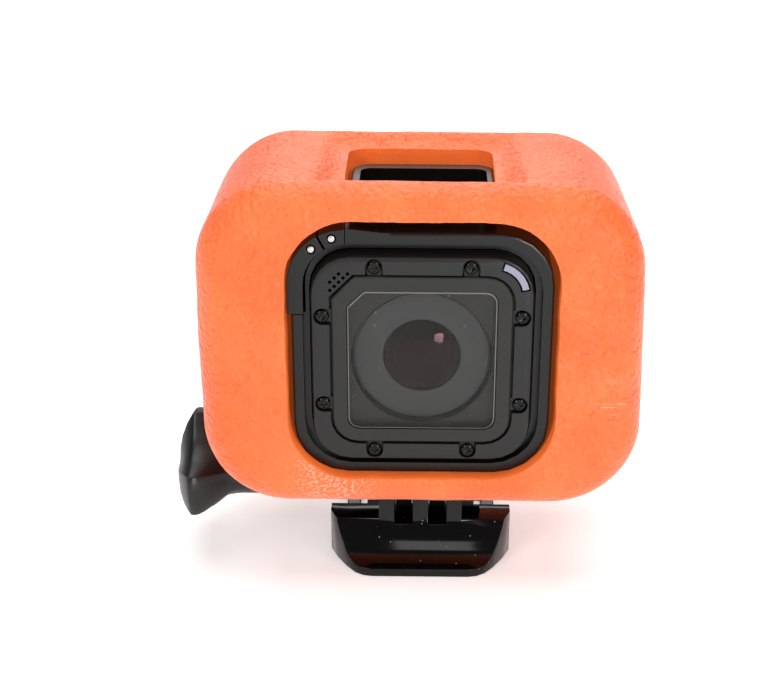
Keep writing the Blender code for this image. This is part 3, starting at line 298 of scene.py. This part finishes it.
finishes = {
    "mouldedEvaSkin": makeFoamSkin(),
    "cutEva": makeFoamCut(),
    # a painted highlight along the foam's cut edges
    "paintedEdgeHighlight": makeEdgeHighlightPaint(),
    "caseAbs": mouldedPlastic("sparkErodedAbs", "#151514", 0.42, 0.16, 0.02, Specular_IOR_Level=0.4)[0],
    "coverAbs": mouldedPlastic("satinAbs", "#1B1B19", 0.5, 0.2, 0.015, Specular_IOR_Level=0.4)[0],
    "frameNylon": mouldedPlastic("satinNylon", "#0E0E0D", 0.3, 0.22, 0.015, Specular_IOR_Level=0.36)[0],
    "knobNylon": mouldedPlastic("glassFilledNylon", "#0D0D0C", 0.36, 0.3, 0.03, Specular_IOR_Level=0.45)[0],
    "polishedAcetal": makeGlossAcetal(),
    "lensRingPaint": mouldedPlastic(
        "matteRingPaint", "#3B3C3C", 0.6, 0.12, 0.008, Specular_IOR_Level=0.35)[0],
    # a painted highlight for the ring deep in the lens
    "ringHighlightPaint": mouldedPlastic("paintedRingHighlight", "#8A8A86", 0.25, 0.1, 0.004)[0],
    # matt black for bores, and also painted on the lens trim ring as shade of the gap round it
    "blackBoreAndGapShade": mouldedPlastic("mattBlackAndGapShade", "#161616", 0.55, 0.2, 0.01)[0],
    "lightPipe": mouldedPlastic("frostedAcrylic", "#8F8FA2", 0.3, 0.25, 0.01)[0],
    "pinSteel": makeSteel("turnedStainless", "#C9C7C3", 0.3, 0.12),
    "screwSteel": makeSteel("blackOxideSteel", "#2A2A29", 0.16, 0.15),
    "toughenedGlass": makeClearGlass(),
    "groundGlassEdge": mouldedPlastic("groundGlassEdge", "#7A7672", 0.45, 0.1, 0.004)[0],
    "lensGlass": makeLensGlass("coatedDomeGlass", "#050505", 0.6),
    "innerGlass": makeLensGlass("coatedInnerGlass", "#120E12", 0.8),
    "solderResist": makeBoard(),
    "chipResin": mouldedPlastic("mouldedEpoxy", "#1A1A1C", 0.45, 0.15, 0.01)[0],
    "cellWrap": makeSteel("nickelPlate", "#B9BABD", 0.35, 0.4),
    "sealRubber": mouldedPlastic("softSilicone", "#1A1A1A", 0.7, 0.3, 0.015)[0],
}
print("materials are made")


def deselect():
    if bpy.context.mode != "OBJECT":
        bpy.ops.object.mode_set(mode="OBJECT")
    bpy.ops.object.select_all(action="DESELECT")


def activate(obj):
    deselect()
    obj.select_set(True)
    bpy.context.view_layer.objects.active = obj


def evenShading(piece):
    # keeps the flats flat where a rounded edge runs into them
    weighted = piece.modifiers.new("flats", "WEIGHTED_NORMAL")
    weighted.keep_sharp = True
    activate(piece)
    bpy.ops.object.modifier_apply(modifier="flats")


def softened(node, piece, finish, edge, rounds=2, sharp=32, body="camera", flats=True):
    # a copy of a frame node with its flats merged and its edges rounded by edge mm, so that they catch light
    source = nodes[node]
    copy = source.copy()
    copy.data = source.data.copy()
    copy.name = piece
    for key in list(copy.keys()):
        del copy[key]
    scene.collection.objects.link(copy)
    copy.parent = None
    activate(copy)
    bpy.ops.object.mode_set(mode="EDIT")
    bpy.ops.mesh.select_all(action="SELECT")
    bpy.ops.mesh.remove_doubles(threshold=0.002 * mm)
    bpy.ops.mesh.dissolve_limited(angle_limit=math.radians(1.5))
    bpy.ops.object.mode_set(mode="OBJECT")
    if edge:
        rounding = copy.modifiers.new("edge", "BEVEL")
        rounding.width = edge * mm
        rounding.segments = rounds
        rounding.limit_method = "ANGLE"
        rounding.angle_limit = math.radians(sharp)
        rounding.use_clamp_overlap = True
        bpy.ops.object.modifier_apply(modifier="edge")
    bpy.ops.object.shade_smooth_by_angle(angle=math.radians(sharp))
    if flats:
        evenShading(copy)
    copy.data.materials.clear()
    copy.data.materials.append(finishes[finish])
    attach(copy, body)
    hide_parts(node)
    return copy


def roundRim(knob, rim, edge):
    # the outer rim of the knob gets the larger round, in mm, and the creases of its flutes the smaller one
    activate(knob)
    points = [vert.co for vert in knob.data.vertices]
    widest = max(points, key=lambda co: math.hypot(co.y, co.z - pivotZ)).x
    bpy.ops.object.mode_set(mode="EDIT")
    bpy.ops.mesh.select_mode(type="EDGE")
    bpy.ops.mesh.select_all(action="DESELECT")
    mesh = bmesh.from_edit_mesh(knob.data)
    for line in mesh.edges:
        line.select_set(all(abs(vert.co.x - widest) < 0.05 * mm for vert in line.verts))
    bmesh.update_edit_mesh(knob.data)
    bpy.ops.mesh.bevel(offset=rim * mm, segments=6, affect="EDGES", clamp_overlap=True)
    bpy.ops.object.mode_set(mode="OBJECT")
    rounding = knob.modifiers.new("crease", "BEVEL")
    rounding.width = edge * mm
    rounding.segments = 2
    rounding.limit_method = "ANGLE"
    rounding.angle_limit = math.radians(28)
    bpy.ops.object.modifier_apply(modifier="crease")
    bpy.ops.object.shade_smooth_by_angle(angle=math.radians(28))


softPieces = {  # node: (piece, finish, edge in mm)
    "front_bezel": ("frontBezel", "caseAbs", 0.12),
    "frame_band": ("bandFrame", "frameNylon", 0.15),
    "latch_lever": ("latchLever", "frameNylon", 0.15),
    "latch_link": ("latchLink", "frameNylon", 0.15),
    "camera_case": ("rearCase", "caseAbs", 0.12),
}
for node, (piece, finish, edge) in softPieces.items():
    softened(node, piece, finish, edge)
latchEnds = (("latchLink", 0, max, 0.22), ("latchLever", 2, min, -0.22))  # the ends close up, in mm
for name, axis, end, reach in latchEnds:
    points = bpy.data.objects[name].data.vertices
    tip = end(vert.co[axis] for vert in points)
    for vert in points:
        if abs(vert.co[axis] - tip) < 0.3 * mm:
            vert.co[axis] += reach * mm
lobedKnob = softened("thumb_screw_knob", "lobedKnob", "knobNylon", 0, body="thumb_screw", flats=False)
roundRim(lobedKnob, 1.6, 0.16)
softened("buckle_body", "buckleHead", "polishedAcetal", 0.25, 3, body="buckle", flats=False)
softened("buckle_arm_left", "springArmLeft", "polishedAcetal", 0.2, body="arm_left")
softened("buckle_arm_right", "springArmRight", "polishedAcetal", 0.2, body="arm_right")
softened("shutter_button", "shutterKey", "caseAbs", 0.12, body="shutter_button")
softened("rear_button", "rearKey", "caseAbs", 0.12, body="rear_button")
print("plastic pieces are finished")


def makeCoverPlate():
    # the square plate; the ledge under its window is painted a lighter grey
    plate = softened("lens_cover_plate", "coverPlate", "coverAbs", 0.1)
    plate.data.materials.append(finishes["lensRingPaint"])
    for face in plate.data.polygons:
        away = face.center - faceCentre
        if max(abs(away.x), abs(away.z)) < 12.85 * mm and away.y > 0.5 * mm and face.normal.y < -0.9:
            face.material_index = 1


def makeCoverGlass():
    # the window; the ground edge of the glass shows as a pale line
    glass = softened("lens_cover_glass", "coverGlass", "toughenedGlass", 0.28, 1, 60)
    glass.data.materials.append(finishes["groundGlassEdge"])
    for face in glass.data.polygons:
        if face.normal.y < -0.3 and face.normal.y > -0.95:
            face.material_index = 1


def turnedPiece(name, rings, finish, hollow=False, rounds=96):
    # rings are (radius, depth behind the face) in mm; a hollow piece comes back to its first ring
    deselect()
    bpy.ops.mesh.primitive_circle_add(
        vertices=rounds, radius=rings[0][0] * mm, fill_type="NOTHING", rotation=(math.radians(90), 0, 0),
        location=faceCentre + Vector((0, rings[0][1] * mm, 0)))
    piece = bpy.context.object
    piece.name = name
    bpy.ops.object.transform_apply(location=True, rotation=True, scale=True)
    bpy.ops.object.mode_set(mode="EDIT")
    for (radius, depth), (wider, deeper) in zip(rings, rings[1:]):
        bpy.ops.mesh.extrude_region_move(TRANSFORM_OT_translate={"value": (0, (deeper - depth) * mm, 0)})
        bpy.ops.transform.resize(value=(wider / radius, 1, wider / radius), center_override=faceCentre)
    if not hollow:
        bpy.ops.mesh.select_mode(type="VERT")
        bpy.ops.mesh.edge_face_add()
        bpy.ops.mesh.select_all(action="DESELECT")
        bpy.ops.mesh.select_non_manifold()
        bpy.ops.mesh.edge_face_add()
    bpy.ops.mesh.select_all(action="SELECT")
    bpy.ops.mesh.remove_doubles(threshold=0.001 * mm)
    bpy.ops.mesh.normals_make_consistent(inside=False)
    bpy.ops.object.mode_set(mode="OBJECT")
    bpy.ops.object.shade_smooth_by_angle(angle=math.radians(30))
    piece.data.materials.append(finishes[finish])
    return piece


def finishPiece(piece, node, body="camera"):
    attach(piece, body)
    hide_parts(node)


def makeDome():
    low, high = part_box("lens_front_element")
    apex, rim, foot = [(y - faceY) / mm for y in (low.y, low.y + dome["rise"] * mm, high.y)]
    radius = (high.x - low.x) / 2 / mm
    ball = (radius**2 + (rim - apex)**2) / (2 * (rim - apex))
    rings = []
    for i in range(dome["steps"] + 1):
        across = radius * (i + 0.3) / (dome["steps"] + 0.3)
        rings.append((across, apex + ball - math.sqrt(ball**2 - across**2)))
    finishPiece(turnedPiece("frontElement", rings + [(radius, foot)], "lensGlass"), "lens_front_element")


def makeTrimRing():
    # the grey ring round the lens, with a groove at its rim; the band from the groove out is coloured black
    # as painted shade of the gap round the ring
    low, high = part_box("lens_trim_ring")
    front, back = (low.y - faceY) / mm, (high.y - faceY) / mm
    inner, outer = trimRing["inner"], (high.x - low.x) / 2 / mm
    groove = outer - trimRing["groove"]
    ring = turnedPiece("trimRing", [
        (inner, front + 0.1), (inner + 0.1, front), (groove, front),
        (groove + 0.02, front + 0.3), (outer, front + 0.3),
        (outer, back), (inner, back), (inner, front + 0.1)], "lensRingPaint", hollow=True)
    # the outer band is painted shade of the gap between ring and cover plate
    ring.data.materials.append(finishes["blackBoreAndGapShade"])
    for face in ring.data.polygons:
        away = face.center - faceCentre
        if math.hypot(away.x, away.z) > groove * mm:
            face.material_index = 1
    finishPiece(ring, "lens_trim_ring")


def makeApertureRing():
    # stepped rings seen deep in the dome; a pale band near the rim is a painted highlight of the ring
    low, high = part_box("lens_aperture_ring")
    front, back = (low.y - faceY) / mm, (high.y - faceY) / mm
    outer = (high.x - low.x) / 2 / mm
    ring = turnedPiece("apertureRing", [
        (trimRing["iris"], back), (trimRing["iris"] + 0.3, front + 0.1),
        (outer - 0.35, front + 0.05), (outer - 0.3, front),
        (outer, front), (outer, back), (trimRing["iris"], back)], "blackBoreAndGapShade", hollow=True)
    # the pale band is a painted highlight
    ring.data.materials.append(finishes["ringHighlightPaint"])
    for face in ring.data.polygons:
        away = face.center - faceCentre
        if (outer - 0.34) * mm < math.hypot(away.x, away.z) < (outer - 0.02) * mm and face.normal.y < -0.2:
            face.material_index = 1
    finishPiece(ring, "lens_aperture_ring")


# groove is the width in mm of the trim ring's outer band, which is painted shade
trimRing = {"inner": 6.75, "groove": 0.4, "iris": 1.2}
dome = {"rise": 1.35, "steps": 14}
makeCoverPlate()
makeCoverGlass()
makeDome()
makeTrimRing()
makeApertureRing()
for name in [n for n in nodes if n.startswith("cover_screw")]:
    softened(name, name.replace("cover_screw", "plateScrew"), "screwSteel", 0.09)
for name, piece in {"latch_lever_pin": "leverPin", "latch_link_pin": "linkPin"}.items():
    softened(name, piece, "pinSteel", 0.12, 3)
print("lens and cover are finished")

carriedOver = {
    "pinSteel": ["hex_nut", "thumb_screw_shank", "usb_port", "card_slot",
                 "shutter_switch", "rear_switch", "microphone"],
    "toughenedGlass": ["display_window"],
    "innerGlass": ["lens_rear_element"],
    "blackBoreAndGapShade": ["lens_barrel", "side_door"],
    "lightPipe": ["led_light_pipe", "rear_light_pipe"],
    "solderResist": ["main_board", "sensor_board", "top_board"],
    "chipResin": ["image_sensor", "memory_card", "status_display", "speaker"],
    "cellWrap": ["battery"],
    "sealRubber": ["door_seal"],
}
for finish, names in carriedOver.items():
    for name in names:
        nodes[name].data.materials.clear()
        nodes[name].data.materials.append(finishes[finish])


jacket = {
    "corner": 15.5, "edge": 5.6,  # mm, seen from the front, and round the front and back
    "cuts": 95,  # rows of points across each side
    "outset": ((-0.85, 0, 0.5), (-0.15, 0, 0.6)),  # mm beyond the plain block, low and high corners
    "lean": 1.1,  # the right side stands out by this at the bottom, in mm
    "bow": 0.5,  # how far the sides swell in the middle, in mm
    "channelCorner": 11.4,
    "dishDepth": 2.2, "dishFront": 1.0,  # and this much deeper at its front edge
    "holeCorner": 3.5,
    # the second number is the width in mm of the bevel that carries the painted edge highlight
    "ragged": 0.22, "lip": 0.25,
    "dishSide": (13.8, 19.0),  # where the dish starts to rise beside the hole, and where it ends
    "dishBack": 4.8, "dishAhead": 3.6,  # how far it reaches behind and before the hole
    "groove": 5.7,  # radius of the groove for the screw's hub
    "seed": 7,  # of the knives' wander
}


def smooth(value):
    value = min(1.0, max(0.0, value))
    return value * value * (3 - 2 * value)


def roundedPoint(point, half, corner, edge):
    # moves a point on a cube of half size 1 to a box of these half sizes, which is
    # rounded as seen from the front and at its edges
    reach = max(abs(point.x), abs(point.z), 1e-6)
    rim = Vector((point.x / reach * half.x, point.z / reach * half.z))
    inner = Vector((
        min(max(rim.x, corner - half.x), half.x - corner),
        min(max(rim.y, corner - half.z), half.z - corner)))
    outward = (rim - inner).normalized()
    profile = inner + outward * corner
    if abs(point.y) < 0.9999:  # on the band round the sides
        share = max(0, abs(point.y) * half.y - half.y + edge) / edge
        turn = share * math.pi / 4
    else:
        flat = 1 - edge / min(half.x, half.z)
        share = max(0, (reach - flat) / (1 - flat))
        turn = math.pi / 2 - share * math.pi / 4
        if reach < flat:
            profile = (profile - outward * edge) * reach / flat + outward * edge
    drop = edge * (1 - math.cos(turn))
    if share > 0 or abs(point.y) > 0.9999:
        depth = half.y - edge + edge * math.sin(turn)
    else:
        depth = abs(point.y) * half.y
    place = profile - outward * drop
    return Vector((place.x, math.copysign(depth, point.y), place.y))


def boxPiece(name, low, high, corner, axis, cuts=0, segments=12):
    # a box from low to high whose edges along axis are rounded; cuts adds points between
    deselect()
    low, high = Vector(low), Vector(high)
    bpy.ops.mesh.primitive_cube_add(size=1, location=(low + high) / 2)
    box = bpy.context.object
    box.name = name
    box.scale = high - low
    bpy.ops.object.transform_apply(location=True, rotation=True, scale=True)
    bpy.ops.object.mode_set(mode="EDIT")
    bpy.ops.mesh.select_mode(type="EDGE")
    bpy.ops.mesh.select_all(action="DESELECT")
    mesh = bmesh.from_edit_mesh(box.data)
    for edge in mesh.edges:
        a, b = (v.co for v in edge.verts)
        edge.select_set(all(abs(a[i] - b[i]) < 1e-7 for i in range(3) if i != axis))
    bmesh.update_edit_mesh(box.data)
    if corner:
        bpy.ops.mesh.bevel(offset=corner * mm, segments=segments, affect="EDGES")
    if cuts:
        bpy.ops.mesh.select_all(action="DESELECT")
        mesh = bmesh.from_edit_mesh(box.data)
        for edge in mesh.edges:
            a, b = (v.co for v in edge.verts)
            edge.select_set((a - b).length > 4 * mm)
        bmesh.update_edit_mesh(box.data)
        bpy.ops.mesh.subdivide(number_cuts=cuts)
    bpy.ops.object.mode_set(mode="OBJECT")
    return box


def makeJacket():
    noise.seed_set(jacket["seed"])  # noise_vector takes its seed from the clock otherwise
    low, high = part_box("foam_jacket")
    low, high = low + Vector(jacket["outset"][0]) * mm, high + Vector(jacket["outset"][1]) * mm
    middle = (low + high) / 2
    half = (high - low) / 2
    deselect()
    bpy.ops.mesh.primitive_cube_add(size=2, location=(0, 0, 0))
    foam = bpy.context.object
    foam.name = "floatJacket"
    bpy.ops.object.mode_set(mode="EDIT")
    bpy.ops.mesh.select_all(action="SELECT")
    bpy.ops.mesh.subdivide(number_cuts=jacket["cuts"])
    bpy.ops.object.mode_set(mode="OBJECT")
    holeLow, holeHigh = Vector((-13.7 * mm, -11.2 * mm, 0)), Vector((12.5 * mm, 13.4 * mm, 0))
    holeMid = (holeLow + holeHigh) / 2
    dishFrom, dishTo = jacket["dishSide"]
    for vert in foam.data.vertices:
        side = roundedPoint(vert.co, half, jacket["corner"] * mm, jacket["edge"] * mm)
        flat = smooth(1 - abs(side.z) / half.z) * smooth(1 - abs(side.y) / half.y)
        side.x *= 1 + jacket["bow"] * mm * (flat - 1) / half.x
        side.x += jacket["lean"] * mm * max(0, side.x / half.x) * smooth(0.55 - 0.6 * side.z / half.z)
        place = side + middle
        if side.z > 0:  # the dish in the top falls towards the hole
            across = (abs(place.x - holeMid.x) - dishFrom * mm) / (dishTo * mm - dishFrom * mm)
            if place.y > holeMid.y:
                back = (place.y - holeHigh.y) / (jacket["dishBack"] * mm)
            else:
                back = (holeLow.y - place.y) / (jacket["dishAhead"] * mm)
            fall = 1 - smooth(max(across, back, 0) if max(across, back) > 0 else 0)
            deep = jacket["dishDepth"] + jacket["dishFront"] * smooth((holeMid.y - place.y) / (11 * mm))
            place.z -= deep * mm * fall * smooth(side.z / half.z * 2 - 0.6)
        swell = noise.noise(place / (9 * mm)) * 0.14 + noise.noise(place / (2.6 * mm)) * 0.05
        vert.co = place + (side - Vector((0, side.y * 0.5, 0))).normalized() * (swell - 0.1) * mm
    foam.data.materials.append(finishes["mouldedEvaSkin"])
    cutters = [
        boxPiece("channelKnife", (-23.5 * mm, low.y - 3 * mm, lensZ - 22.7 * mm),
                 (23.5 * mm, 12 * mm, lensZ + 25.3 * mm), jacket["channelCorner"], 1, 24),
        boxPiece("rearKnife", (-23.2 * mm, 9 * mm, lensZ - 22.9 * mm),
                 (23.2 * mm, high.y + 3 * mm, lensZ + 23.0 * mm), jacket["channelCorner"], 1, 24),
        boxPiece("topKnife", (holeLow.x, holeLow.y, lensZ), (holeHigh.x, holeHigh.y, high.z + 3 * mm),
                 jacket["holeCorner"], 2, 24),
        boxPiece("hoodKnife", (-13.5 * mm, -11.5 * mm, lensZ),
                 (13.5 * mm, 11.5 * mm, lensZ + 27.1 * mm), 2, 2, 6),
        boxPiece("slotKnife", (-12.9 * mm, -10.5 * mm, low.z - 3 * mm),
                 (12.9 * mm, high.y + 3 * mm, lensZ - 20 * mm), 3, 2, 12),
    ]
    deselect()
    bpy.ops.mesh.primitive_cylinder_add(
        vertices=48, radius=jacket["groove"] * mm, depth=42 * mm,
        location=(-21 * mm, 0, pivotZ), rotation=(0, math.radians(90), 0))
    groove = bpy.context.object
    bpy.ops.object.transform_apply(location=True, rotation=True, scale=True)
    cutters.append(groove)
    for knife in cutters[:3]:
        for vert in knife.data.vertices:  # the knife wandered as it cut
            wide = noise.noise_vector(vert.co / (5 * mm)) * 0.8
            fine = noise.noise_vector(vert.co / (1.3 * mm)) * 0.35
            vert.co += (wide + fine) * jacket["ragged"] * mm
    for knife in cutters:
        knife.data.materials.clear()
        knife.data.materials.append(finishes["cutEva"])
        activate(foam)
        cut = foam.modifiers.new("cut", "BOOLEAN")
        cut.object = knife
        cut.operation = "DIFFERENCE"
        cut.solver = "MANIFOLD"
        cut.material_mode = "TRANSFER"
        bpy.ops.object.modifier_apply(modifier="cut")
        bpy.data.objects.remove(knife, do_unlink=True)
    # the third material is a painted highlight along the cut edges
    foam.data.materials.append(finishes["paintedEdgeHighlight"])
    paintEdgeHighlight(foam)
    bpy.ops.object.shade_smooth_by_angle(angle=math.radians(50))
    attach(foam, "camera")
    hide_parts("foam_jacket")


def paintEdgeHighlight(foam):
    # a narrow bevel where skin and cut wall meet, coloured paler as a painted edge highlight
    activate(foam)
    bpy.ops.object.mode_set(mode="EDIT")
    bpy.ops.mesh.select_mode(type="EDGE")
    bpy.ops.mesh.select_all(action="SELECT")
    bpy.ops.mesh.remove_doubles(threshold=0.03 * mm)
    bpy.ops.mesh.select_all(action="DESELECT")
    mesh = bmesh.from_edit_mesh(foam.data)
    for edge in mesh.edges:
        sides = {face.material_index for face in edge.link_faces}
        edge.select_set(len(sides) == 2)
    bmesh.update_edit_mesh(foam.data)
    bpy.ops.mesh.bevel(offset=jacket["lip"] * mm, segments=2, affect="EDGES", clamp_overlap=True, material=2)
    bpy.ops.object.mode_set(mode="OBJECT")


makeJacket()
print("foam jacket is cut")


studio = {
    "floor": "#E4E4E3",
    "world": 0.12,
    "lamps": [  # name, place in m, size in m, power in W
        ("overhead", (0.0, 0.1, 0.8), 0.8, 6.2),
        ("left", (-0.5, -0.6, 0.5), 0.35, 2.4),
        ("right", (0.55, -0.5, 0.55), 0.35, 1.5),
        ("front", (0.05, -0.75, 0.75), 0.3, 0.8),
        ("rear", (0.0, 0.7, 0.5), 0.5, 1.6),
        ("window", (0.36, -0.95, 0.1), 0.2, 3.6),  # small, low and in front: the light in the dome
    ],
}


def addStudio():
    deselect()
    bpy.ops.mesh.primitive_plane_add(size=6, location=(0, 0, -0.05 * mm))
    floor = bpy.context.object
    floor.name = "studioFloor"
    paper, _, _ = newMaterial(
        "whitePaper", studio["floor"], 0.9, Specular_IOR_Level=0.1,
        Emission_Color=(1, 1, 1, 1), Emission_Strength=0.42)
    floor.data.materials.append(paper)
    world = bpy.data.worlds.new("softSky")
    world.use_nodes = True
    world.node_tree.nodes["Background"].inputs["Color"].default_value = (1, 1, 1, 1)
    world.node_tree.nodes["Background"].inputs["Strength"].default_value = studio["world"]
    scene.world = world
    for name, place, size, power in studio["lamps"]:
        data = bpy.data.lights.new(name, "AREA")
        data.size = size
        data.energy = power
        lamp = bpy.data.objects.new(name, data)
        scene.collection.objects.link(lamp)
        lamp.location = place
        lamp.rotation_euler = (Vector((0, 0, 0.04)) - Vector(place)).to_track_quat("-Z", "Y").to_euler()


addStudio()
print("studio is lit")
